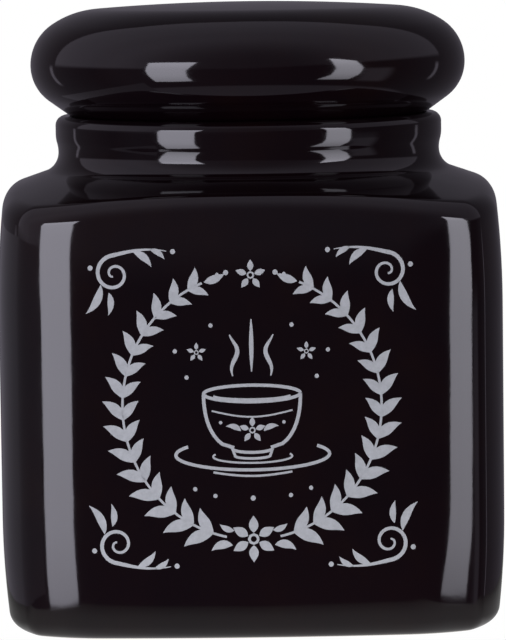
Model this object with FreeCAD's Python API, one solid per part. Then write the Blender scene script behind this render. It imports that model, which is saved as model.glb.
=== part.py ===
# Glazed ceramic tea jar: a soft-square jar with a sloping shoulder and a round
# neck, and a round pillow-shaped lid that rests on the rim of the neck.
# Units are millimetres, +Z is up, the origin is the centre of the foot on the
# surface that the jar stands on, and the front face looks towards -Y.
import FreeCAD, Part
import math
import os

V = FreeCAD.Vector

# ---------------------------------------------------------------- jar: plan
width = 120.0            # across opposite walls at their fullest, both ways
wall_crown_r = 450.0     # plan radius of each slightly bulged wall
wall_turn_r = 37.0       # plan radius where a wall turns towards its corner
corner_r = 8.5           # plan radius of the four upright corners
corner_from = 30.0       # degrees a wall has turned where the corner begins

# ------------------------------------------------------- jar: upright profile
foot_r = 3.9             # rounded edge under the walls
belly_z0 = 25.0          # the walls are plumb from here ...
belly_z1 = 74.0          # ... to here, and lean in below and above
lower_lean_r = 200.0     # inward lean down to the foot
upper_lean_r = 220.0     # slower inward lean up to the shoulder
lean_past = 3.0          # that lean ends this far over the shoulder's edge

# ---------------------------------------------------- jar: foot ring, underside
foot_ring = 9.0          # from the outline in to the recess under the jar
recess_depth = 1.4       # how far the glazed underside is lifted
recess_draft = 1.0       # how much the recess narrows on its way up
recess_corner_r = 10.0   # plan radius of the recess's corners

# ------------------------------------------------------ jar: shoulder and neck
shoulder_z = 100.7       # height of the sloping shoulder over the wall's crown
shoulder_slope = 20.2    # degrees below level, over the middle of each wall
shoulder_reach = 12.0    # the shoulder is drawn this far beyond the walls
shoulder_crown_r = 286.0 # plan radius of its outer level line along each wall
shoulder_turn_r = 49.0   # ... where that line turns
shoulder_corner_r = 30.0 # ... and round its corners
shoulder_edge_r = 5.4    # rounding where the walls turn into the shoulder
shoulder_width = 14.3    # from a wall's crown in to the neck's waist
flare_r = 4.9            # hollow sweep from the shoulder up into the neck
bead_out = 0.5           # how far the rim's bead stands out from the waist
bead_rise = 4.6          # from the waist up to the middle of the bead
bead_land = 1.8          # upright stretch of the bead
rim_r = 2.35             # rounded outer edge of the rim

# ---------------------------------------------------------------------- lid
lid_overhang = 5.85      # lid's edge beyond the bead of the neck
seat_margin = 3.4        # lid's flat seat stops this far inside the bead
lid_edge_rise = 12.0     # height of the lid's widest line above the rim
lid_under_r = 10.4       # rounding of the lid's edge, lower half
lid_edge_r = 11.7        # rounding of the lid's edge, upper half
lid_edge_turn = 55.8     # degrees that the upper half turns through
lid_crown_r = 21.5       # larger rounding from the edge on to the top
lid_crown_turn = 85.8    # degrees from level where the flat dome takes over
seat_gap = 0.0           # lid and rim lie face to face

tan_s = math.tan(math.radians(shoulder_slope))


def arc(cx, cz, r, a0, a1):
    """Arc in the XZ plane about (cx, cz), from angle a0 to a1 in radians."""
    pts = [V(cx + r * math.cos(a), 0, cz + r * math.sin(a))
           for a in (a0, (a0 + a1) / 2, a1)]
    return Part.Arc(*pts).toShape()


def line(x0, z0, x1, z1):
    return Part.makeLine(V(x0, 0, z0), V(x1, 0, z1))


def turned(edges):
    """Solid of revolution about Z from the edges of a closed half profile."""
    face = Part.Face(Part.Wire(edges))
    return face.revolve(V(0, 0, 0), V(0, 0, 1), 360)


# ------------------------------------------------------------- plan outline
# The outline is a chain of tangent arcs: a shallow one along each wall, one
# that turns the wall towards its corner, and a tight one round the corner
# itself.  Neighbours share the radius through their meeting point, so drawing
# the whole chain in by one inset keeps it tangent.
def soft_square(half, crown_r, turn_r, tight_r):
    """Arcs (centre x, centre y, radius, start angle, end angle) of the outline
    whose walls' crowns are half from the middle, anticlockwise."""
    late = math.radians(corner_from)
    diag = math.pi / 4

    def corner_arcs(early):
        tx = (crown_r - turn_r) * math.sin(early)
        ty = half - crown_r + (crown_r - turn_r) * math.cos(early)
        kx = tx + (turn_r - tight_r) * math.sin(late)
        ky = ty + (turn_r - tight_r) * math.cos(late)
        return tx, ty, kx, ky

    # The wall keeps its shallow arc up to the angle at which the corner's
    # centre comes to lie on the diagonal.
    lo, hi = 0.0, late
    for _ in range(60):
        early = (lo + hi) / 2
        tx, ty, kx, ky = corner_arcs(early)
        if kx > ky:
            hi = early
        else:
            lo = early
    arcs = []
    for quarter in range(4):
        q = quarter * math.pi / 2
        c, sn = math.cos(q), math.sin(q)

        # the same chain for every wall, here for the one that faces +X
        def put(x, y, r, a0, a1):
            arcs.append((x * c - y * sn, x * sn + y * c, r, q + a0, q + a1))

        put(half - crown_r, 0.0, crown_r, -early, early)
        put(ty, tx, turn_r, early, late)
        put((kx + ky) / 2, (kx + ky) / 2, tight_r, late, math.pi / 2 - late)
        put(tx, ty, turn_r, math.pi / 2 - late, math.pi / 2 - early)
    return arcs


half = width / 2
PLAN = soft_square(half, wall_crown_r, wall_turn_r, corner_r)
RECESS = soft_square(half - foot_ring, wall_crown_r - foot_ring,
                     wall_turn_r - foot_ring, recess_corner_r)


def plan_wire(arcs, inset, z):
    """The outline drawn in by inset, at height z."""
    edges = []
    for cx, cy, r, a0, a1 in arcs:
        pts = [V(cx + (r - inset) * math.cos(a), cy + (r - inset) * math.sin(a), z)
               for a in (a0, (a0 + a1) / 2, a1)]
        edges.append(Part.Arc(*pts).toShape())
    return Part.Wire(edges)


# ----------------------------------------------------------- upright profile
# Neck levels, from the shoulder's cone up to the rim.
slope = math.radians(shoulder_slope)


def cone_z(r):
    return shoulder_z - tan_s * (r - half)


neck_waist_r = half - shoulder_width
flare = flare_r
flare_turn = math.pi / 2 - slope
flare_out = neck_waist_r + flare * (1 - math.cos(flare_turn))
waist_z = cone_z(flare_out) + flare * math.sin(flare_turn)
bead_z = waist_z + bead_rise
bead_r = neck_waist_r + bead_out
rim_z = bead_z + bead_land + rim_r

# How far the wall has leaned in at the foot's rounding, and over the shoulder.
foot_turn = math.asin((belly_z0 - foot_r) / (lower_lean_r - foot_r))
top_z = rim_z + 6.0
lean_z = shoulder_z + lean_past
top_turn = math.asin((lean_z - belly_z1) / upper_lean_r)


def wall_profile(r):
    """Edges of the wall's upright profile at plan radius r about the Z axis."""
    fx = r - lower_lean_r + (lower_lean_r - foot_r) * math.cos(foot_turn)
    return [
        arc(fx, foot_r, foot_r, -math.pi / 2, -foot_turn),
        arc(r - lower_lean_r, belly_z0, lower_lean_r, -foot_turn, 0),
        line(r, belly_z0, r, belly_z1),
        arc(r - upper_lean_r, belly_z1, upper_lean_r, 0, top_turn),
        line(r - top_inset, lean_z, r - top_inset, top_z),
    ]


foot_inset = lower_lean_r - (lower_lean_r - foot_r) * math.cos(foot_turn)
top_inset = upper_lean_r * (1 - math.cos(top_turn))

# The wall is that profile turned through each arc of the outline in its turn.
faces = []
for cx, cy, r, a0, a1 in PLAN:
    strip = Part.Wire(wall_profile(r)).revolve(V(0, 0, 0), V(0, 0, 1),
                                               math.degrees(a1 - a0))
    strip.rotate(V(0, 0, 0), V(0, 0, 1), math.degrees(a0))
    strip.translate(V(cx, cy, 0))
    faces += strip.Faces
faces.append(Part.Face(plan_wire(PLAN, foot_inset, 0)))
faces.append(Part.Face(plan_wire(PLAN, top_inset, top_z)))
skin = Part.makeShell(faces)
skin.sewShape()
block = Part.Solid(skin.Shells[0] if skin.ShapeType != "Shell" else skin)
if block.Volume < 0:
    block.reverse()

# ------------------------------------------------ shoulder, neck and rim, turned
# The shoulder's level lines pass from the neck's circle to a soft square, so
# it is ruled between the two, arc by arc, each pair through the same angles.
outer = soft_square(half + shoulder_reach, shoulder_crown_r, shoulder_turn_r,
                    shoulder_corner_r)
outer_z, flare_z = cone_z(half + shoulder_reach), cone_z(flare_out)
circle = [(0.0, 0.0, flare_out, a0, a1) for cx, cy, r, a0, a1 in outer]
low_wire = plan_wire(outer, 0.0, outer_z)
shoulder = Part.makeLoft([low_wire, plan_wire(circle, 0.0, flare_z)], True, True)
below = Part.Face(low_wire).extrude(V(0, 0, -5 - outer_z))
bead_s_r = (bead_rise ** 2 + bead_out ** 2) / (4 * bead_out)
bead_s_a = math.asin(bead_rise / 2 / bead_s_r)
neck = turned([
    line(0, outer_z, flare_out, outer_z),
    line(flare_out, outer_z, flare_out, flare_z),
    arc(neck_waist_r + flare, waist_z, flare, math.pi + flare_turn, math.pi),
    arc(neck_waist_r + bead_s_r, waist_z, bead_s_r, math.pi, math.pi - bead_s_a),
    arc(bead_r - bead_s_r, bead_z, bead_s_r, -bead_s_a, 0),
    line(bead_r, bead_z, bead_r, bead_z + bead_land),
    arc(bead_r - rim_r, bead_z + bead_land, rim_r, 0, math.pi / 2),
    line(bead_r - rim_r, rim_z, 0, rim_z),
    line(0, rim_z, 0, outer_z),
])
jar = block.common(shoulder.fuse([below, neck]))
jar = jar.Solids[0]

# The edge between the walls and the shoulder arches a little over each wall,
# because the shoulder's level lines are rounder than the walls; it is rounded.
edge_r = min(shoulder_edge_r, 0.5 * (half - flare_out))
crest = []
for e in jar.Edges:
    p = [e.valueAt(e.FirstParameter + t * (e.LastParameter - e.FirstParameter))
         for t in (0.0, 0.3, 0.7, 1.0)]
    high = all(q.z > belly_z1 + 1 for q in p)
    outside = all(math.hypot(q.x, q.y) > flare_out + 3 for q in p)
    run = math.hypot(p[0].x - p[3].x, p[0].y - p[3].y)
    if high and outside and run > 0.5 and abs(p[0].z - p[3].z) < 0.6 * run:
        crest.append(e)
jar = jar.makeFillet(edge_r, crest)

# Underside: a shallow drafted recess leaves a flat ring to stand on.
recess = Part.makeLoft([plan_wire(RECESS, 0.0, 0.0),
                        plan_wire(RECESS, recess_draft, recess_depth)],
                       True, True)
jar = jar.cut(recess)
jar = jar.Solids[0]

# ---------------------------------------------------------------------- lid
seat_z = rim_z + seat_gap
lid_r = bead_r + lid_overhang
seat_r = bead_r - seat_margin
edge_z = seat_z + lid_edge_rise

# Underside: a straight flank from the seat's edge, tangent to the lower round.
ucx = lid_r - lid_under_r
dx, dz = ucx - seat_r, edge_z - seat_z
dist = math.hypot(dx, dz)
to_c = math.atan2(dz, dx)
flank = to_c - math.asin(lid_under_r / dist)      # flank's climb above level
tan_a = flank - math.pi / 2                       # angle of the tangent point
tx, tz = ucx + lid_under_r * math.cos(tan_a), edge_z + lid_under_r * math.sin(tan_a)

# Top: edge round, larger crown round, then a very flat dome centred on the axis.
b2, b3 = math.radians(lid_edge_turn), math.radians(lid_crown_turn)
ecx = lid_r - lid_edge_r
ex, ez = ecx + lid_edge_r * math.cos(b2), edge_z + lid_edge_r * math.sin(b2)
ccx, ccz = ex - lid_crown_r * math.cos(b2), ez - lid_crown_r * math.sin(b2)
cx3, cz3 = ccx + lid_crown_r * math.cos(b3), ccz + lid_crown_r * math.sin(b3)
dome_r = cx3 / math.cos(b3)
dcz = cz3 - dome_r * math.sin(b3)
top = dcz + dome_r

lid = turned([
    line(0, seat_z, seat_r, seat_z),
    line(seat_r, seat_z, tx, tz),
    arc(ucx, edge_z, lid_under_r, tan_a, 0),
    arc(ecx, edge_z, lid_edge_r, 0, b2),
    arc(ccx, ccz, lid_crown_r, b2, b3),
    arc(0, dcz, dome_r, b3, math.pi / 2),
    line(0, top, 0, seat_z),
])

os.makedirs("parts", exist_ok=True)
for name, shape in (("jar", jar), ("lid", lid)):
    b = shape.BoundBox
    print(name, shape.ShapeType, "valid", shape.isValid(), "solids", len(shape.Solids),
          "cm3 %.1f" % (shape.Volume / 1000), "faces", len(shape.Faces),
          "box %.2f %.2f %.2f  %.2f %.2f %.2f" % (b.XMin, b.YMin, b.ZMin,
                                                  b.XMax, b.YMax, b.ZMax))
    shape.exportStep("parts/%s.step" % name)
print("crest edges", len(crest), "edge_r %.2f" % edge_r, "waist_z %.2f rim_z %.2f seat_r %.2f top %.2f flank %.1f"
      % (waist_z, rim_z, seat_r, top, math.degrees(flank)))
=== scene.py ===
"""Black glazed tea jar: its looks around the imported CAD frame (metres, +Z up).

The jar and the lid are worked out as smooth meshes from the part's own sizes and
replace its nodes. A generic ornament lies on the front wall. The studio and the
camera come last.
"""
import math
from collections import namedtuple
from itertools import chain

import bpy
import numpy as np
from mathutils import Matrix, Vector


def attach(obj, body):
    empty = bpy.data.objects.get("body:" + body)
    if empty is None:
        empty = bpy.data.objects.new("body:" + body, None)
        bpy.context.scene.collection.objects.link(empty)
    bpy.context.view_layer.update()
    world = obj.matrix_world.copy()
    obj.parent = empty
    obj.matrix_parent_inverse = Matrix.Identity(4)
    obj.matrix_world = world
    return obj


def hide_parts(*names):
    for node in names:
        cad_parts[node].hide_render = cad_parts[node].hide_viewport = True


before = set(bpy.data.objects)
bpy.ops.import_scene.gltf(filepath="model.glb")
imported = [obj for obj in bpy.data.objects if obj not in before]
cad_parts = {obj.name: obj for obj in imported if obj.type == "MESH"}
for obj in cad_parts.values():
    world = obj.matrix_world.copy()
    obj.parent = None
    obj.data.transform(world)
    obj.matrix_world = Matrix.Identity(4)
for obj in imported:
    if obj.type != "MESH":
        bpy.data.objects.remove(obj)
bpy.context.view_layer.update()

MM = 0.001
EIGHTH = math.pi / 4     # a wall's normal turns this far from its middle to a corner

# ---------------------------------------------------------------- sizes in mm
HALF = 60.0              # from the middle to each wall's crown
CROWN_R = 450.0          # plan radius of a wall
TURN_R = 37.0            # plan radius where a wall turns towards its corner
CORNER_R = 8.5           # plan radius of the corner itself
CORNER_FROM = math.radians(30.0)     # the corner's arc begins at this turn
BELLY_LOW = 25.0         # the walls are plumb from here
BELLY_HIGH = 74.0        # to here
LOWER_LEAN_R = 200.0     # the walls lean in with this radius below the belly
UPPER_LEAN_R = 220.0     # and with this one above it
FOOT_R = 3.9             # rounding from the flat foot to the wall
FOOT_RING = 9.0          # the recess begins this far inside the wall's crown
RECESS = 1.4             # depth of the recess in the underside
RECESS_DRAFT = 1.0       # its side slopes in by this much
RECESS_CORNER_R = 10.0
GLAZE_FROM = 0.45        # the glaze begins this far round the foot's rounding (radians)
SHOULDER_Z = 100.7       # height of the shoulder's cone over the walls' crowns
SLOPE = math.radians(20.2)
REACH = 12.0             # the shoulder is ruled out to a line this far outside
SHOULDER_LINE = (286.0, 49.0, 30.0)  # that line's three plan radii
EDGE_R = 5.4             # rounding between wall and shoulder
WAIST_R = 45.7           # the neck's narrowest radius
FLARE_R = 4.9            # rounding between shoulder and neck
BEAD_OUT = 0.6           # the bead stands out from the waist by this much
BEAD_RISE = 4.4          # and begins this far above it
BEAD_LAND = 2.0          # height of its plumb side
RIM_R = 2.35             # rounding of the rim
SEAT_MARGIN = 3.5        # the lid's flat seat ends this far inside the bead
LID_OVERHANG = 5.75      # the lid's edge lies this far outside the bead
LID_RISE = 12.0          # from the seat to the lid's widest line
LID_UNDER_R = 10.4       # rounding below that line
LID_EDGE_R = 11.7        # rounding above it
LID_EDGE_TURN = math.radians(55.8)   # where that rounding passes into the next
LID_CROWN_R = 21.5
LID_CROWN_TURN = math.radians(85.8)  # where the next one passes into the dome
HOLD = 0.15              # rings this close to an edge keep the shading crisp

# How many steps the meshes take: round an eighth of the plan,
CROWN_STEPS, TURN_STEPS, CORNER_STEPS = 16, 18, 10
# up the jar,
FOOT_STEPS, WALL_STEPS, EDGE_STEPS, SHOULDER_STEPS = 12, 30, 12, 8
# and round the lid.
LID_STEPS = 288

# --------------------------------------------------- the ornament's sizes in mm
LIFT = 0.05              # the enamel lies this far in front of the glaze,
LIFT_STEP = 0.004        # and each stroke a little further than the one before,
LIFT_LEVELS = 8          # in turns, so that crossing strokes don't coincide
FACE_WIDTH = 2.0         # strokes wider than this have more faces across
WREATH_V = 54.0          # height of the wreath's middle above the foot
WREATH_HALF_U = 29.5     # its stem's half width
WREATH_HALF_V = 30.5     # and half height
LEAVES_FROM = -72.0      # angle of its lowest leaves, in degrees,
LEAVES_SPAN = 142.0      # the stretch that they fill
LEAVES_EVERY = 9.5       # and how far apart they are
CORNER_CURLS_V = {22.5: 1, 84.5: -1}     # heights of the corner curls, and which way is up
STAR_U, STAR_V = 12.5, 66.5              # the small flowers beside the steam

# ------------------------------------------------------ the studio, in metres
# Azimuths are in degrees: 0 towards the camera, positive to the right.
BOX_AWAY = 0.6           # distance of the soft boxes
LEFT_BOX = {
    "inner": [(-29.5, -0.164), (-31.0, -0.040), (-31.0, 0.110), (-26.0, 0.290)],
    "outer": [(-50.5, -0.164), (-51.6, -0.030), (-52.7, 0.110), (-51.5, 0.265)],
    "strengths": (3.8, 5.0, 5.4, 6.8),
    "tint": (0.99, 0.97, 1.12)}
RIGHT_BOX = {
    "inner": [(37.0, -0.156), (43.0, -0.040), (45.0, 0.110), (42.5, 0.322)],
    "outer": [(55.6, -0.156), (59.5, -0.030), (60.5, 0.110), (57.0, 0.242)],
    "strengths": (2.6, 4.1, 4.9, 6.6),
    "tint": (0.99, 0.97, 1.10)}
GLOW_LOW = -0.15         # the first of a card's strengths is at this height
GLOW_HIGH = 0.30         # and the last one at this
GLOW_UNIT = 10.0         # strengths are held as shares of this, as ramps end at 1
CARD_X = -0.078          # the low card stands beside the jar, on the left,
CARD_FRONT = -0.076      # from here
CARD_BACK = 0.03         # to here
CARD_TOP = 0.093
CARD_GLOW = (0.20, 0.20)
CARD_TINT = (1.0, 0.93, 1.12)
TABLE_HALF = 0.083       # the table top is a square
TABLE_CUT = 0.0497       # with corners cut off, whose sides end here
TABLE_Z = -0.0002        # just under the foot
CANOPY_END = 0.53        # the canopy's far edge, as a direction's y,
CANOPY_SOFT = 0.015      # how soft it is
CANOPY_LIFT = 0.14       # and how much higher the canopy starts on the right
WINDOW = (60.0, 86.0)    # azimuths of a broad pale upright
UPRIGHTS = ((-129.0, -124.5), (116.5, 121.0))        # and of two narrow ones
STRIP_SOFT = 0.1         # how soft their ends are, as a direction's z
SEEN_TINT = (1.01, 0.93, 1.13)       # the room's colour in the glaze
FILL = 0.30              # the light that the room gives to dull surfaces
WHITE = (1.0, 1.0, 1.0)

# ------------------------------------------------------------------- the camera
CAMERA_AWAY = 1.0        # metres in front of the jar's axis
CAMERA_Z = 0.16257       # metres above the table
CLOSEST = 0.05           # metres from which things show
PITCH = 0.0942           # it looks down by this much (radians)
ROLL = 0.0132            # and leans to the right by this much
SENSOR = 36.0            # mm, along the picture's height
LENS = 234.05625         # mm
SHIFT_X = 0.003234375    # share of the picture's height

# ------------------------------------------------------------------ jar's form
# All of it is worked out for an eighth of the plan, from the middle of the
# front wall to its right corner, and then mirrored and turned.
CORNER_SIN, CORNER_COS = math.sin(CORNER_FROM), math.cos(CORNER_FROM)
DIAGONAL = math.sqrt(0.5)


def crown_end(half, crown_r, turn_r, corner_r):
    """The turn at which the crown's arc ends, so that the corners close."""
    low, high = 0.0, CORNER_FROM
    for _ in range(60):
        end = (low + high) / 2
        x = (crown_r * math.sin(end) + turn_r * (CORNER_SIN - math.sin(end))
             + corner_r * (DIAGONAL - CORNER_SIN))
        y = half - (crown_r * (1 - math.cos(end)) + turn_r * (math.cos(end) - CORNER_COS)
                    + corner_r * (CORNER_COS - DIAGONAL))
        low, high = (low, end) if x > y else (end, high)
    return end


def soft_square(turned, half, crown_r, turn_r, corner_r):
    """Points of the outline of tangent arcs where its normal has turned so far."""
    end = crown_end(half, crown_r, turn_r, corner_r)
    sin, cos = np.sin(turned), np.cos(turned)
    crown_x, crown_drop = crown_r * math.sin(end), crown_r * (1 - math.cos(end))
    turn_x = crown_x + turn_r * (CORNER_SIN - math.sin(end))
    turn_drop = crown_drop + turn_r * (math.cos(end) - CORNER_COS)
    arcs = [turned <= end, turned <= CORNER_FROM]
    x = np.select(arcs, [crown_r * sin, crown_x + turn_r * (sin - math.sin(end))],
                  turn_x + corner_r * (sin - CORNER_SIN))
    drop = np.select(arcs, [crown_r * (1 - cos), crown_drop + turn_r * (math.cos(end) - cos)],
                     turn_drop + corner_r * (CORNER_COS - cos))
    return np.stack([x, drop - half], 1)


def outward(turned):
    """Level directions that have turned so far from the front towards the right."""
    return np.stack([np.sin(turned), -np.cos(turned)], 1)


def whole(eighth):
    """The closed ring from its first eighth (x, y, z)."""
    mirrored = np.column_stack([-eighth[:, 1], -eighth[:, 0], eighth[:, 2]])
    quarters = [np.concatenate([eighth, mirrored[::-1][1:-1]])]
    for _ in range(3):
        last = quarters[-1]
        quarters.append(np.column_stack([-last[:, 1], last[:, 0], last[:, 2]]))
    return np.concatenate(quarters)


def inset(z):
    """How far the wall has leaned in at height z."""
    below = np.clip(BELLY_LOW - z, 0, None)
    above = np.clip(z - BELLY_HIGH, 0, None)
    return (LOWER_LEAN_R - np.sqrt(LOWER_LEAN_R ** 2 - below ** 2)
            + UPPER_LEAN_R - np.sqrt(UPPER_LEAN_R ** 2 - above ** 2))


def cone_z(radius):
    """Height of the shoulder's cone at this radius."""
    return SHOULDER_Z - math.tan(SLOPE) * (radius - HALF)


def stepped(start, end, steps):
    """Evenly spaced values after the start, up to the end."""
    return np.linspace(start, end, steps + 1)[1:]


def arc(centre_x, centre_z, radius, start, end, steps):
    """Points after the first along an arc in the (radius, height) plane."""
    return [(centre_x + radius * math.cos(angle), centre_z + radius * math.sin(angle))
            for angle in stepped(start, end, steps)]


FOOT_TURN = math.asin((BELLY_LOW - FOOT_R) / (LOWER_LEAN_R - FOOT_R))
FOOT_IN = LOWER_LEAN_R - (LOWER_LEAN_R - FOOT_R) * math.cos(FOOT_TURN)
FOOT_TOP = FOOT_R * (1 - math.sin(FOOT_TURN))
FLARE_TURN = math.pi / 2 - SLOPE
FLARE_OUT = WAIST_R + FLARE_R * (1 - math.cos(FLARE_TURN))
FLARE_Z = cone_z(FLARE_OUT)
LINE_Z = cone_z(HALF + REACH)
WAIST_Z = FLARE_Z + FLARE_R * math.sin(FLARE_TURN)
BEAD_Z = WAIST_Z + BEAD_RISE
BEAD_R = WAIST_R + BEAD_OUT
RIM_Z = BEAD_Z + BEAD_LAND + RIM_R

# The eighth's places: more of them where the wall turns.
CROWN_END = crown_end(HALF, CROWN_R, TURN_R, CORNER_R)
TURNED = np.concatenate([
    np.linspace(0, CROWN_END, CROWN_STEPS, endpoint=False),
    np.linspace(CROWN_END, CORNER_FROM, TURN_STEPS, endpoint=False),
    np.linspace(CORNER_FROM, EIGHTH, CORNER_STEPS + 1)])
OUT = outward(TURNED)
WALL = soft_square(TURNED, HALF, CROWN_R, TURN_R, CORNER_R)
RECESS_LINE = soft_square(TURNED, HALF - FOOT_RING, CROWN_R - FOOT_RING,
                          TURN_R - FOOT_RING, RECESS_CORNER_R)


# The shoulder is ruled between the neck's circle and a soft square outside the
# walls, through points that face the same way. A ball that touches both the wall
# and the shoulder rounds the edge between them.
Edge = namedtuple("Edge", "wall_face centre shoulder_face near gap")


def halve(low, high, rounds, higher):
    """For each place of the eighth, the value where higher(value) stops being true."""
    low, high = np.full(len(WALL), low), np.full(len(WALL), high)
    for _ in range(rounds):
        middle = (low + high) / 2
        up = higher(middle)
        low, high = np.where(up, middle, low), np.where(up, high, middle)
    return middle


def ruling(turned):
    """Both ends of the shoulder's rulings that face this way, and their rise."""
    near = FLARE_OUT * outward(turned)
    far = soft_square(turned, HALF + REACH, *SHOULDER_LINE)
    rise = np.arctan((FLARE_Z - LINE_Z) / ((far - near) * outward(turned)).sum(1))
    return near, far, rise


def touching_ball(z):
    """The ball that touches the wall at height z, over each place of the eighth."""
    step = 1e-3
    off = inset(z)
    tilt = (inset(z + step) - off) / step
    wall_face = np.column_stack([OUT, tilt]) / np.sqrt(1 + tilt ** 2)[:, None]
    centre = np.column_stack([WALL - OUT * off[:, None], z]) - EDGE_R * wall_face

    def across(turned):
        """From a ruling's start, its own way and the way to the ball's centre."""
        near, far, rise = ruling(turned)
        start = near - EDGE_R * np.sin(rise)[:, None] * outward(turned)
        return far - near, centre[:, :2] - start

    def passes(turned):
        """Whether the ruling over the centre starts further round the neck."""
        way, offset = across(turned)
        return way[:, 0] * offset[:, 1] - way[:, 1] * offset[:, 0] > 0

    turned = halve(-1e-4, EIGHTH + 1e-4, 40, passes)
    near, _, rise = ruling(turned)
    way, offset = across(turned)
    share = (offset * way).sum(1) / (way * way).sum(1)
    under = FLARE_Z + (LINE_Z - FLARE_Z) * share
    shoulder_face = np.column_stack([outward(turned) * np.sin(rise)[:, None], np.cos(rise)])
    gap = centre[:, 2] + EDGE_R * np.cos(rise) - under
    return Edge(wall_face, centre, shoulder_face, near, gap)


# Each of these sections gives rings as (x and y, height, whether it is bare clay).
def underside():
    """The recess: its floor and its sloping side."""
    floor_line = RECESS_LINE - OUT * RECESS_DRAFT
    for share in (0.25, 0.5, 0.75, 0.97, 0.995, 1.0):
        yield floor_line * share, RECESS, False
    for share in (0.9, 0.1):
        yield RECESS_LINE - OUT * RECESS_DRAFT * share, RECESS * share, False


def foot():
    """The flat foot ring, and the rounding that meets the leaning wall smoothly."""
    yield RECESS_LINE, 0.0, True
    yield RECESS_LINE + OUT * HOLD, 0.0, True
    yield WALL - OUT * (FOOT_IN + HOLD), 0.0, True
    yield WALL - OUT * FOOT_IN, 0.0, True
    for angle in stepped(0, math.pi / 2 - FOOT_TURN, FOOT_STEPS):
        yield (WALL - OUT * (FOOT_IN - FOOT_R * math.sin(angle)),
               FOOT_R * (1 - math.cos(angle)), angle < GLAZE_FROM)


def wall(top):
    """The bulged wall up to the height where its edge begins."""
    for share in stepped(0, 1, WALL_STEPS):
        z = FOOT_TOP + (top - FOOT_TOP) * share
        yield WALL - OUT * inset(z)[:, None], z, False


def rounded_edge(edge):
    """The rounding from the wall to the shoulder."""
    angle = np.arccos(np.clip((edge.wall_face * edge.shoulder_face).sum(1), -1, 1))[:, None]
    for share in stepped(0, 1, EDGE_STEPS):
        towards = (np.sin((1 - share) * angle) * edge.wall_face
                   + np.sin(share * angle) * edge.shoulder_face) / np.sin(angle)
        place = edge.centre + EDGE_R * towards
        yield place[:, :2], place[:, 2], False


def shoulder(edge):
    """The straight rulings from the rounded edge to the neck's flare."""
    start = edge.centre + EDGE_R * edge.shoulder_face
    for share in stepped(0, 1, SHOULDER_STEPS):
        yield (start[:, :2] * (1 - share) + edge.near * share,
               start[:, 2] * (1 - share) + FLARE_Z * share, False)


def neck(edge):
    """Flare, waist, bead and rim, whose points go on from the rulings' ends."""
    swell_r = (BEAD_RISE ** 2 + BEAD_OUT ** 2) / (4 * BEAD_OUT)
    swell_turn = math.asin(BEAD_RISE / 2 / swell_r)
    profile = arc(WAIST_R + FLARE_R, WAIST_Z, FLARE_R, math.pi + FLARE_TURN, math.pi, 12)
    profile += arc(WAIST_R + swell_r, WAIST_Z, swell_r, math.pi, math.pi - swell_turn, 6)
    profile += arc(BEAD_R - swell_r, BEAD_Z, swell_r, -swell_turn, 0, 6)
    profile += [(BEAD_R, BEAD_Z + BEAD_LAND * share) for share in (0.5, 1.0)]
    profile += arc(BEAD_R - RIM_R, BEAD_Z + BEAD_LAND, RIM_R, 0, math.pi / 2, 10)
    profile += [(share * (BEAD_R - RIM_R), RIM_Z) for share in (0.98, 0.7, 0.35)]
    for radius, z in profile:
        yield edge.near / FLARE_OUT * radius, z, False


def jar_rings():
    """The jar's rings from the middle of the underside to the middle of the rim's
    top, and which of them are bare clay."""
    # The wall ends between these heights, where the ball also touches the shoulder.
    wall_top = halve(85.0, 105.0, 30, lambda z: touching_ball(z).gap <= 0)
    edge = touching_ball(wall_top)
    sections = (underside(), foot(), wall(wall_top), rounded_edge(edge), shoulder(edge),
                neck(edge))
    rings, bare = [], []
    for outline, z, is_bare in chain(*sections):
        rings.append(whole(np.column_stack([outline, np.broadcast_to(z, len(WALL))])))
        bare.append(is_bare)
    return rings, bare


# ------------------------------------------------------------------- lid's form
def lid_profile():
    """Radius and height from the flat seat, round the edge, to the dome's middle."""
    lid_r, seat_r = BEAD_R + LID_OVERHANG, BEAD_R - SEAT_MARGIN
    widest_z = RIM_Z + LID_RISE
    under_x = lid_r - LID_UNDER_R
    run, rise = under_x - seat_r, widest_z - RIM_Z
    flank = math.atan2(rise, run) - math.asin(LID_UNDER_R / math.hypot(run, rise))
    meet = flank - math.pi / 2      # where the straight flank meets the rounding
    meet_x = under_x + LID_UNDER_R * math.cos(meet)
    meet_z = widest_z + LID_UNDER_R * math.sin(meet)
    profile = [(share * seat_r, RIM_Z) for share in (0.35, 0.7, 0.97, 0.995, 1.0)]
    profile += [(seat_r + (meet_x - seat_r) * share, RIM_Z + (meet_z - RIM_Z) * share)
                for share in (0.04, 0.3, 0.6, 0.96, 1.0)]
    profile += arc(under_x, widest_z, LID_UNDER_R, meet, 0, 20)
    profile += arc(lid_r - LID_EDGE_R, widest_z, LID_EDGE_R, 0, LID_EDGE_TURN, 22)
    edge_x, edge_z = profile[-1]
    profile += arc(edge_x - LID_CROWN_R * math.cos(LID_EDGE_TURN),
                   edge_z - LID_CROWN_R * math.sin(LID_EDGE_TURN),
                   LID_CROWN_R, LID_EDGE_TURN, LID_CROWN_TURN, 18)
    crown_x, crown_z = profile[-1]
    dome_r = crown_x / math.cos(LID_CROWN_TURN)
    profile += arc(0, crown_z - dome_r * math.sin(LID_CROWN_TURN), dome_r,
                   LID_CROWN_TURN, math.pi / 2, 14)
    return profile


def lid_rings(profile):
    """A circle of points for each place of the profile."""
    angles = np.linspace(0, 2 * math.pi, LID_STEPS, endpoint=False)
    circle = np.stack([np.cos(angles), np.sin(angles)], 1)
    return [np.column_stack([circle * radius, np.full(LID_STEPS, z)])
            for radius, z in profile]


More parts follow.
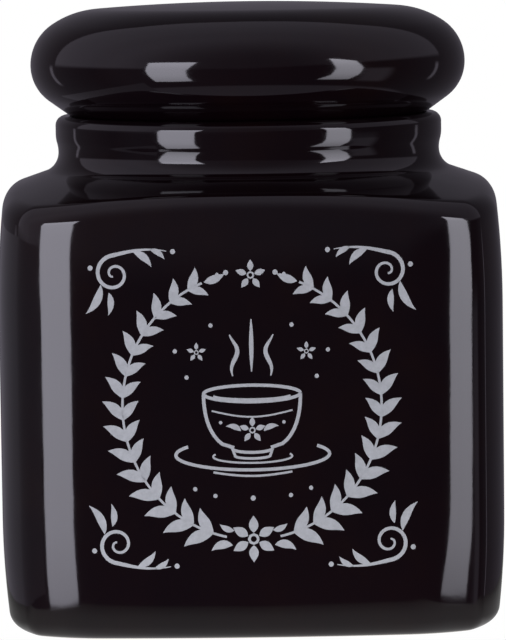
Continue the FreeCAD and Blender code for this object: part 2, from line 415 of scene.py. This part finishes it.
# ----------------------------------------------------------------------- meshes
def mesh_object(name, points, faces):
    """A linked mesh object from points in metres."""
    mesh = bpy.data.meshes.new(name)
    mesh.from_pydata([tuple(point) for point in points], [], faces)
    mesh.update()
    ob = bpy.data.objects.new(name, mesh)
    bpy.context.scene.collection.objects.link(ob)
    return ob


def ring_mesh(name, rings, low_z, high_z, bare=None):
    """Closed smooth mesh from rings of points in mm, shut by one point at each end.
    Faces between two bare rings get the second material."""
    count = len(rings[0])
    bare = bare or [False] * len(rings)
    after = [(j + 1) % count for j in range(count)]
    points = np.concatenate([[[0, 0, low_z]]] + rings + [[[0, 0, high_z]]]) * MM
    faces = [(0, 1 + after[j], 1 + j) for j in range(count)]
    slots = [0] * count
    for i in range(len(rings) - 1):
        here, above = 1 + i * count, 1 + (i + 1) * count
        faces += [(here + j, here + after[j], above + after[j], above + j)
                  for j in range(count)]
        slots += [int(bare[i] and bare[i + 1])] * count
    here, last = 1 + (len(rings) - 1) * count, len(points) - 1
    faces += [(here + j, here + after[j], last) for j in range(count)]
    slots += [0] * count
    ob = mesh_object(name, points, faces)
    ob.data.polygons.foreach_set("material_index", slots)
    ob.data.polygons.foreach_set("use_smooth", [True] * len(faces))
    return ob


# ------------------------------------------------------------------- node trees
class Graph:
    """A node tree written as formulas: each call adds a node and gives its output."""

    def __init__(self, tree):
        self.tree = tree
        tree.nodes.clear()

    def node(self, kind, inputs=None, **settings):
        """A node whose inputs are linked to outputs or set to values."""
        node = self.tree.nodes.new("ShaderNode" + kind)
        for key, value in settings.items():
            setattr(node, key, value)
        for key, value in (inputs or {}).items():
            if isinstance(value, bpy.types.NodeSocket):
                self.tree.links.new(value, node.inputs[key])
            else:
                node.inputs[key].default_value = value
        return node

    def place(self, kind="Object"):
        """Texture coordinates of this kind."""
        return self.node("TexCoord").outputs[kind]

    def axes(self, kind="Object"):
        """The X, Y and Z of the texture coordinates."""
        return self.node("SeparateXYZ", {0: self.place(kind)}).outputs

    def noise(self, scale, detail, rough=0.5):
        """Noise fixed to the object; scale is about how many swells a metre has."""
        inputs = {"Vector": self.place(), "Scale": scale, "Detail": detail,
                  "Roughness": rough}
        return self.node("TexNoise", inputs).outputs["Fac"]

    def ramp(self, value, stops):
        """Colours between stops of (position, colour)."""
        node = self.node("ValToRGB", {0: value})
        elements = node.color_ramp.elements
        while len(elements) < len(stops):
            elements.new(0.5)
        for element, (position, colour) in zip(elements, stops):
            element.position = position
            element.color = (*colour, 1.0)
        return node.outputs[0]

    def bump(self, height, strength, distance, normal=None):
        """The normal that heights bend, from a given normal or the surface's own."""
        inputs = {"Height": height, "Strength": strength, "Distance": distance}
        if normal is not None:
            inputs["Normal"] = normal
        return self.node("Bump", inputs).outputs[0]

    def between(self, value, start, end, low, high, smooth=True):
        """From low to high while the value goes from start to end."""
        kind = "SMOOTHSTEP" if smooth else "LINEAR"
        inputs = {0: value, 1: start, 2: end, 3: low, 4: high}
        return self.node("MapRange", inputs, interpolation_type=kind).outputs[0]

    def calc(self, operation, first, second=0.0):
        """The result of one math node."""
        inputs = {0: first, 1: second}
        return self.node("Math", inputs, operation=operation).outputs[0]

    def product(self, first, *others):
        """All of them multiplied."""
        for other in others:
            first = self.calc("MULTIPLY", first, other)
        return first

    def total(self, first, *others):
        """All of them added."""
        for other in others:
            first = self.calc("ADD", first, other)
        return first

    def surface(self, inputs):
        """An object's own surface, from a principled shader with these inputs."""
        shader = self.node("BsdfPrincipled", inputs)
        self.node("OutputMaterial", {"Surface": shader.outputs[0]})

    def light(self, tint, strength):
        """A surface that only gives light."""
        shader = self.node("Emission", {"Color": (*tint, 1.0), "Strength": strength})
        self.node("OutputMaterial", {"Surface": shader.outputs[0]})


def new_material(name):
    """An empty material and its graph."""
    material = bpy.data.materials.new(name)
    material.use_nodes = True
    return material, Graph(material.node_tree)


def grey(level):
    """A colour without a tint."""
    return (level, level, level)


# ------------------------------------------------------------------- materials
def glaze_material():
    """Glossy black glaze: faint warm clouds, soft ripple and orange peel."""
    material, graph = new_material("black_glaze")
    clouds = graph.noise(38.0, 4.0, 0.6)
    tint = graph.ramp(clouds, [(0.30, (0.0036, 0.0013, 0.0026)),
                               (0.55, (0.0050, 0.0016, 0.0026)),
                               (0.80, (0.0072, 0.0024, 0.0022))])
    haze = graph.noise(90.0, 5.0, 0.65)
    roughness = graph.ramp(haze, [(0.25, grey(0.045)), (0.75, grey(0.085))])
    ripple = graph.bump(graph.noise(34.0, 2.0), 0.35, 0.00034)
    peel = graph.bump(graph.noise(900.0, 2.0), 0.25, 0.000008, ripple)
    graph.surface({"Base Color": tint, "Roughness": roughness, "IOR": 1.5, "Normal": peel})
    return material


def clay_material():
    """Bare fired clay on the foot ring."""
    material, graph = new_material("bare_clay")
    grain = graph.noise(1400.0, 4.0, 0.7)
    tint = graph.ramp(grain, [(0.35, (0.50, 0.44, 0.36)), (0.7, (0.66, 0.60, 0.51))])
    pits = graph.bump(grain, 0.5, 0.00005)
    graph.surface({"Base Color": tint, "Roughness": 0.85, "Normal": pits})
    return material


def enamel_material():
    """Fired-on enamel of the ornament: pale blue-grey, slightly uneven."""
    material, graph = new_material("print_enamel")
    grain = graph.noise(700.0, 4.0, 0.7)
    tint = graph.ramp(grain, [(0.3, (0.400, 0.415, 0.428)), (0.7, (0.505, 0.522, 0.540))])
    graph.surface({"Base Color": tint, "Roughness": 0.45})
    return material


glaze = glaze_material()

rings, bare = jar_rings()
jar = ring_mesh("jar_glazed", rings, RECESS, RIM_Z, bare)
jar.data.materials.append(glaze)
jar.data.materials.append(clay_material())
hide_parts("jar")
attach(jar, "root")

profile = lid_profile()
lid = ring_mesh("lid_glazed", lid_rings(profile[:-1]), RIM_Z, profile[-1][1])
lid.data.materials.append(glaze)
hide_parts("lid")
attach(lid, "root")

# ----------------------------------------------------------------- the ornament
# A generic wreath round a steaming bowl, drawn on the front wall in mm, where u
# runs to the right of the middle and v up from the foot. Angles are in degrees.
FINE_TURNED = np.linspace(0, EIGHTH, 400)
FINE_WALL = soft_square(FINE_TURNED, HALF, CROWN_R, TURN_R, CORNER_R)


def on_wall(u, v, lift):
    """Points this far in front of the front wall, for arrays u and v."""
    turned = np.interp(np.abs(u), FINE_WALL[:, 0], FINE_TURNED)
    y = np.interp(np.abs(u), FINE_WALL[:, 0], FINE_WALL[:, 1])
    off = inset(v) - lift
    return np.stack([u - np.sign(u) * np.sin(turned) * off, y + np.cos(turned) * off, v], -1)


class Drawing:
    """Collects strokes, each a strip of small faces that follows the wall."""

    def __init__(self):
        self.points, self.faces, self.strokes, self.size = [], [], 0, 0

    def stroke(self, line, widths, mirror=False):
        """A strip along a line of (u, v), and its mirror image if that is asked for."""
        line = np.asarray(line, float)
        widths = np.broadcast_to(np.asarray(widths, float), len(line))
        along = np.gradient(line, axis=0)
        along /= np.maximum(np.hypot(along[:, 0], along[:, 1]), 1e-9)[:, None]
        side = np.stack([-along[:, 1], along[:, 0]], 1)
        lanes = max(1, math.ceil(widths.max() / FACE_WIDTH))
        across = np.linspace(-0.5, 0.5, lanes + 1)
        grid = line[:, None] + side[:, None] * widths[:, None, None] * across[None, :, None]
        self.strokes += 1
        lift = LIFT + LIFT_STEP * (self.strokes % LIFT_LEVELS)
        self.points.append(on_wall(grid[..., 0], grid[..., 1], lift).reshape(-1, 3))
        for i in range(len(line) - 1):
            for j in range(lanes):
                a = self.size + i * (lanes + 1) + j
                b = a + lanes + 1
                self.faces.append((a, b, b + 1, a + 1))
        self.size += len(self.points[-1])
        if mirror:
            self.stroke(line * [-1, 1], widths)

    def leaf(self, u, v, angle, length, width, bend=0.0, mirror=False):
        """A pointed leaf from (u, v) towards an angle, bent by a share of its length."""
        share = np.linspace(0, 1, 9)
        angle = math.radians(angle)
        x, y = length * share, bend * length * share * (1 - share) * 4
        line = np.stack([u + x * math.cos(angle) - y * math.sin(angle),
                         v + x * math.sin(angle) + y * math.cos(angle)], 1)
        widths = np.maximum(width * np.sin(math.pi * share ** 0.85), 0.05)
        self.stroke(line, widths, mirror)

    def dot(self, u, v, radius, mirror=False):
        """A round dot, as one stroke across it."""
        share = np.linspace(-1, 1, 9)
        line = np.stack([u + radius * share, np.full(9, v)], 1)
        widths = 2 * radius * np.sqrt(np.clip(1 - share * share, 0, 1))
        self.stroke(line, np.maximum(widths, 0.04), mirror)

    def oval(self, u, v, half_u, half_v, width, start=0.0, end=360.0, mirror=False):
        """An oval's line about (u, v), or the stretch of it between two angles."""
        steps = max(8, int(max(half_u, half_v) * abs(end - start) / 60))
        angles = np.radians(np.linspace(start, end, steps + 1))
        line = np.stack([u + half_u * np.cos(angles), v + half_v * np.sin(angles)], 1)
        self.stroke(line, width, mirror)

    def curl(self, u, v, radii, angles, widths, mirror=False):
        """A spiral about (u, v); each pair says how it begins and how it ends."""
        steps = max(16, int(abs(angles[1] - angles[0]) / 12))
        share = np.linspace(0, 1, steps)
        turn = np.radians(angles[0] + (angles[1] - angles[0]) * share)
        radius = radii[0] + (radii[1] - radii[0]) * share
        line = np.stack([u + radius * np.cos(turn), v + radius * np.sin(turn)], 1)
        self.stroke(line, widths[0] + (widths[1] - widths[0]) * share, mirror)

    def flower(self, u, v, radius, petals):
        """Petals about a small ring, the first one pointing up."""
        for i in range(petals):
            angle = 90.0 + i * 360.0 / petals
            self.leaf(u + 0.28 * radius * math.cos(math.radians(angle)),
                      v + 0.28 * radius * math.sin(math.radians(angle)),
                      angle, 0.75 * radius, 0.42 * radius)
        self.oval(u, v, 0.2 * radius, 0.2 * radius, 0.12 * radius)

    def build(self, name):
        """All strokes as one mesh."""
        return mesh_object(name, np.concatenate(self.points) * MM, self.faces)


def wreath_at(angle):
    """The place on the wreath's oval at this angle, and the way it runs there."""
    cos, sin = math.cos(math.radians(angle)), math.sin(math.radians(angle))
    way = math.degrees(math.atan2(WREATH_HALF_V * cos, -WREATH_HALF_U * sin))
    return WREATH_HALF_U * cos, WREATH_V + WREATH_HALF_V * sin, way


def draw_wreath(art):
    """An open oval stem with pairs of leaves that shrink upwards, and berries."""
    art.oval(0.0, WREATH_V, WREATH_HALF_U, WREATH_HALF_V, 0.55, -78, 68, True)
    for i, angle in enumerate(np.arange(LEAVES_FROM, LEAVES_FROM + LEAVES_SPAN, LEAVES_EVERY)):
        u, v, way = wreath_at(angle)
        size = 1.0 - 0.28 * (angle - LEAVES_FROM) / LEAVES_SPAN
        art.leaf(u, v, way - 42, 7.4 * size, 2.9 * size, 0.10, True)
        art.leaf(u, v, way + 44, 6.6 * size, 2.6 * size, -0.10, True)
        if i % 2 == 0:
            berry_u, berry_v, _ = wreath_at(angle + 4.8)
            side = math.radians(way - 90)
            art.dot(berry_u + 2.0 * math.cos(side), berry_v + 2.0 * math.sin(side), 0.55, True)
    u, v, way = wreath_at(69)
    art.leaf(u, v, way, 5.0, 1.9, 0.05, True)


def draw_wreath_flowers(art):
    """Flowers at the wreath's foot and head."""
    art.flower(0.0, 23.6, 5.2, 6)
    art.leaf(4.8, 22.2, -14, 5.0, 2.0, 0.15, True)
    art.leaf(4.4, 25.6, 24, 3.6, 1.4, -0.10, True)
    art.flower(0.0, 84.0, 3.4, 5)
    art.dot(5.6, 84.6, 0.6, True)
    art.dot(7.6, 84.2, 0.42, True)


def draw_corners(art, v, up):
    """Curls with a stem and leaves in both corners at height v; up is 1 or -1."""
    middle_u, curl_r = 31.0, 4.3
    art.curl(middle_u, v, (0.6, curl_r), (430 * up, -90 * up), (0.45, 0.95), True)
    share = np.linspace(0, 1, 25)
    stem = np.stack([middle_u - 12.0 * share,
                     v - up * (curl_r + 1.2 * np.sin(2.4 * share))], 1)
    art.stroke(stem, 0.95 - 0.75 * share, True)
    art.leaf(34.0, v + 2.4 * up, 62 * up, 7.5, 1.9, 0.12 * up, True)
    art.leaf(32.2, v + 4.2 * up, 88 * up, 5.2, 1.5, 0.10 * up, True)
    art.leaf(26.6, v - 5.0 * up, 140 * up, 5.4, 1.7, 0.12 * up, True)
    art.leaf(22.8, v - 5.5 * up, 146 * up, 4.0, 1.3, 0.12 * up, True)
    art.dot(17.6, v - 5.0 * up, 0.6, True)
    art.dot(36.4, v - 1.4 * up, 0.6, True)


def draw_sagging_line(art, half_u, v, sag, width):
    """A line across the middle that hangs down by sag."""
    share = np.linspace(0, 1, 15)
    line = np.stack([half_u * (2 * share - 1), v - sag * np.sin(math.pi * share)], 1)
    art.stroke(line, width)


def draw_bowl(art):
    """A bowl without a handle on its saucer."""
    share = np.linspace(0, 1, 15)
    bulge = np.sqrt(np.clip(1 - (1 - share) ** 2.2, 0, 1))
    # Its rim, the tea's edge and its sides.
    art.oval(0.0, 57.0, 11.0, 1.9, 0.75)
    art.oval(0.0, 56.7, 8.9, 1.0, 0.40, 190, 350)
    art.stroke(np.stack([4.2 + 6.8 * bulge, 44.6 + 12.2 * share], 1), 0.80, True)
    # Its foot.
    art.oval(0.0, 44.4, 4.6, 0.9, 0.70, 180, 360)
    art.stroke(np.stack([4.6 - 0.6 * share, 44.4 - 1.6 * share], 1), 0.6, True)
    art.oval(0.0, 42.8, 4.1, 0.7, 0.6, 180, 360)
    # The saucer, its well and its underside.
    art.oval(0.0, 43.0, 17.5, 3.5, 0.75, 147, 393)
    art.oval(0.0, 42.6, 9.0, 1.5, 0.45, 160, 380)
    draw_sagging_line(art, 9.0, 39.0, 0.9, 0.5)
    # The bowl's band, flower, leaves and dots.
    draw_sagging_line(art, 9.2, 53.1, 1.45, 0.40)
    art.flower(0.0, 48.6, 3.0, 5)
    art.leaf(2.6, 48.4, 18, 3.6, 1.3, 0.15, True)
    art.dot(7.2, 50.4, 0.4, True)


def draw_steam(art):
    """Two winding wisps and a straight one, thickest at their middles."""
    share = np.linspace(0, 1, 25)
    widths = 0.25 + 0.75 * np.sin(math.pi * share)
    sway = np.sin(2 * math.pi * (1.1 * share + 0.1)) * (0.5 + share / 2)
    art.stroke(np.stack([4.0 + sway, 61.0 + 9.5 * share], 1), widths, True)
    art.stroke(np.stack([0 * share, 62.0 + 12.0 * share], 1), widths)


def draw_sprinkle(art):
    """Small flowers and dots round the bowl."""
    for u in (-STAR_U, STAR_U):
        art.flower(u, STAR_V, 2.2, 5)
    for u, v in ((9.2, 72.6), (14.8, 60.8), (17.4, 66.8), (8.6, 33.6), (13.2, 35.2)):
        art.dot(u, v, 0.5, True)
    art.dot(0.0, 33.0, 0.6)


art = Drawing()
draw_wreath(art)
draw_wreath_flowers(art)
for height, up in CORNER_CURLS_V.items():
    draw_corners(art, height, up)
draw_bowl(art)
draw_steam(art)
draw_sprinkle(art)
ornament = art.build("ornament")
ornament.data.materials.append(enamel_material())
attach(ornament, "root")

# ------------------------------------------------------------------- the studio
def emitter(name, strengths, tint):
    """Glow whose strengths are given at evenly spaced heights."""
    material, graph = new_material(name)
    height = graph.between(graph.axes()["Z"], GLOW_LOW, GLOW_HIGH, 0.0, 1.0, False)
    places = np.linspace(0, 1, len(strengths))
    share = graph.ramp(height, [(place, grey(strength / GLOW_UNIT))
                                for place, strength in zip(places, strengths)])
    graph.light(tint, graph.product(share, GLOW_UNIT))
    return material


def polar(azimuth, z):
    """A point of the soft boxes at this azimuth and height."""
    angle = math.radians(azimuth)
    return (BOX_AWAY * math.sin(angle), -BOX_AWAY * math.cos(angle), z)


def soft_box(name, inner, outer, strengths, tint):
    """A glowing card between two uprights of (azimuth, height), bottom to top."""
    count = len(inner)
    points = [polar(*corner) for corner in inner + outer]
    faces = [(i, i + count, i + count + 1, i + 1) for i in range(count - 1)]
    ob = mesh_object(name, points, faces)
    ob.data.materials.append(emitter(name, strengths, tint))
    ob.visible_camera = False


def low_card():
    """A low pale card beside the jar, seen only in its left corner."""
    corners = [(CARD_X, CARD_FRONT, 0.0), (CARD_X, CARD_BACK, 0.0),
               (CARD_X, CARD_BACK, CARD_TOP), (CARD_X, CARD_FRONT, CARD_TOP)]
    ob = mesh_object("low_card", corners, [(0, 1, 2, 3)])
    ob.data.materials.append(emitter("low_card", CARD_GLOW, CARD_TINT))
    ob.visible_camera = False
    ob.visible_diffuse = False


def table_material():
    """White light on dull surfaces; in the glaze it fades out away from the jar, and
    is half as bright behind the jar's front edge."""
    material, graph = new_material("table_top")
    axes = graph.axes()
    beside, before = graph.calc("ABSOLUTE", axes["X"]), graph.calc("ABSOLUTE", axes["Y"])
    diagonal = graph.product(graph.total(beside, before), 0.55)
    # How far outside the foot's soft square a place on the table lies.
    reach = graph.calc("MAXIMUM", graph.calc("MAXIMUM", beside, before), diagonal)
    fade = graph.ramp(reach, [(0.052, grey(0.9)), (0.060, grey(0.46)), (0.072, grey(0.34)),
                              (0.077, grey(0.26)), (0.085, grey(0.08))])
    fade = graph.product(fade, graph.between(axes["Y"], -0.058, -0.040, 1.0, 0.5))
    glossy = graph.node("LightPath").outputs["Is Glossy Ray"]
    strength = graph.node("Mix", {"Factor": glossy, "A": 1.0, "B": fade}).outputs[0]
    graph.light(WHITE, strength)
    return material


def table_top():
    """Pale table under the foot, an octagon that the camera looks through, so
    that the underside shows from below."""
    cut = [(TABLE_HALF, TABLE_CUT), (TABLE_CUT, TABLE_HALF)]
    points = [(x, y, TABLE_Z) for x, y in cut]
    points += [(-x, y, TABLE_Z) for x, y in reversed(cut)]
    points += [(-x, -y, TABLE_Z) for x, y, _ in points]
    ob = mesh_object("table_top", points, [tuple(range(len(points)))])
    ob.data.materials.append(table_material())
    ob.visible_camera = False


# What the glaze shows of the room, over directions x, y and z of length 1.
def canopy_glow(graph, x, y, z):
    """A pale canopy overhead that ends before the backdrop, higher on the right and
    dimmer towards the camera, the right and its far edge."""
    inside = graph.between(y, CANOPY_END, CANOPY_END + CANOPY_SOFT, 1.0, 0.0)
    lift = graph.calc("MAXIMUM", graph.product(x, CANOPY_LIFT), 0.0)
    above = graph.between(graph.calc("SUBTRACT", z, lift), -0.02, 0.08, 0.0, 1.0)
    front = graph.between(y, -1.0, -0.25, 0.2, 1.0)
    side = graph.between(x, -0.9, 0.9, 1.15, 0.72, False)
    far = graph.between(y, 0.1, 0.5, 0.34, 0.26, False)
    return graph.product(inside, above, front, side, far)


def room_glow(graph, x, y):
    """The dim room, brighter on the left. A darker part behind the jar is deepest
    on the left and fades out straight behind it."""
    room = graph.product(graph.between(y, -0.6, 0.6, 0.045, 0.09),
                         graph.between(x, -1.0, 0.6, 1.9, 1.0))
    dimmed = graph.product(graph.between(y, -0.4, 0.0, 0.0, 1.0),
                           graph.between(x, -0.4, 0.4, 1.0, 0.5),
                           graph.between(y, 0.55, 1.0, 0.48, 0.05, False))
    return graph.product(room, graph.calc("SUBTRACT", 1.0, dimmed))


def strip_glow(graph, azimuth, z, span, soft, glow, heights):
    """A pale upright between two azimuths, with soft sides and soft ends."""
    start, end, soft = (math.radians(angle) for angle in (*span, soft))
    low, high = heights
    return graph.product(graph.between(azimuth, start, start + soft, 0.0, glow),
                         graph.between(azimuth, end - soft, end, 1.0, 0.0),
                         graph.between(z, low, low + STRIP_SOFT, 0.0, 1.0),
                         graph.between(z, high, high + STRIP_SOFT, 1.0, 0.0))


def studio_world():
    """White to the camera, plain light on dull surfaces, a dim studio in the glaze."""
    world = bpy.data.worlds.new("studio")
    bpy.context.scene.world = world
    world.use_nodes = True
    graph = Graph(world.node_tree)
    x, y, z = list(graph.axes("Generated"))
    azimuth = graph.calc("ARCTAN2", x, graph.product(y, -1.0))
    far_table = graph.between(z, -0.70, -0.64, 0.20, 0.0)
    window = strip_glow(graph, azimuth, z, WINDOW, 8.0, 0.24, (-0.55, -0.12))
    uprights = [strip_glow(graph, azimuth, z, span, 1.5, 0.45, (-0.4, -0.05))
                for span in UPRIGHTS]
    seen = graph.total(canopy_glow(graph, x, y, z), room_glow(graph, x, y), far_table,
                       window, *uprights)

    def background(colour, strength):
        inputs = {"Color": (*colour, 1.0), "Strength": strength}
        return graph.node("Background", inputs).outputs[0]

    rays = graph.node("LightPath").outputs
    unseen = graph.node("MixShader", {0: rays["Is Glossy Ray"],
                                      1: background(WHITE, FILL),
                                      2: background(SEEN_TINT, seen)})
    direct = graph.calc("MAXIMUM", rays["Is Camera Ray"], rays["Is Transmission Ray"])
    shader = graph.node("MixShader", {0: direct, 1: unseen.outputs[0],
                                      2: background(WHITE, 1.0)})
    graph.node("OutputWorld", {"Surface": shader.outputs[0]})


soft_box("soft_box_left", **LEFT_BOX)
soft_box("soft_box_right", **RIGHT_BOX)
low_card()
table_top()
studio_world()

# ------------------------------------------------------------------- the camera
def make_camera():
    """A long lens in front of the printed wall, looking slightly down."""
    data = bpy.data.cameras.new("camera")
    data.sensor_width = SENSOR
    data.lens = LENS
    data.shift_x = SHIFT_X
    data.clip_start = CLOSEST
    camera = bpy.data.objects.new("camera", data)
    bpy.context.scene.collection.objects.link(camera)
    forward = Vector((0, math.cos(PITCH), -math.sin(PITCH)))
    level_up = Vector((0, math.sin(PITCH), math.cos(PITCH)))
    level_right = Vector((1, 0, 0))
    right = level_right * math.cos(ROLL) - level_up * math.sin(ROLL)
    up = level_right * math.sin(ROLL) + level_up * math.cos(ROLL)
    place = Matrix((right, up, -forward)).transposed().to_4x4()
    place.translation = Vector((0, -CAMERA_AWAY, CAMERA_Z))
    camera.matrix_world = place
    bpy.context.scene.camera = camera


make_camera()
bpy.context.scene.view_settings.view_transform = "Standard"
